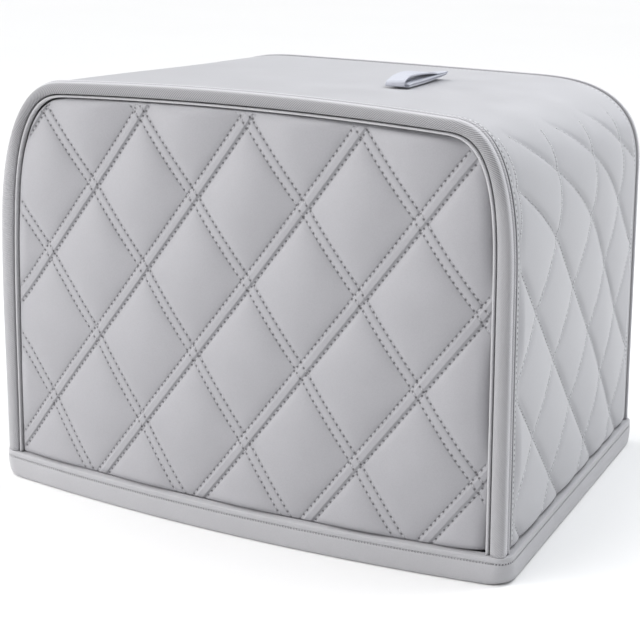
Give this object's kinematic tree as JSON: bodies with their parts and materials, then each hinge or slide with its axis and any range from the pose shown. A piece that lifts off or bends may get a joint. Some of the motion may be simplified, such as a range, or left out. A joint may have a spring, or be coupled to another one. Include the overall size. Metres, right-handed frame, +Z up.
{
  "type": "toaster cover",
  "caption": "Fitted quilted cloth cover for a toaster, open underneath, with bound edges, a hem band and a pull loop on top.",
  "frame": {"origin": "on the floor, at the middle of the hem's outline", "axes": "+Z up, front face towards -Y, +X to the right of someone who looks at the front"},
  "size_m": [0.2938, 0.2322, 0.2254],
  "materials": {
    "quilted_cloth": "smooth satin padded cloth, light grey, stitched in diamonds",
    "gusset_cloth": "smooth satin padded cloth, light grey with a cool cast",
    "binding_tape": "fine diagonal twill tape, matte light grey",
    "piping_cloth": "narrow rolled edge of the satin cloth",
    "hem_cloth": "folded band of matte light grey cloth with one stitch row",
    "ribbon": "pale cool grey grosgrain ribbon"
  },
  "bodies": {
    "root": {"front_panel": "quilted_cloth", "back_panel": "quilted_cloth", "gusset": "gusset_cloth", "front_binding": "binding_tape", "back_binding": "binding_tape", "front_piping": "piping_cloth", "back_piping": "piping_cloth", "hem_band": "hem_cloth", "pull_loop": "ribbon"}
  },
  "joints": []
}
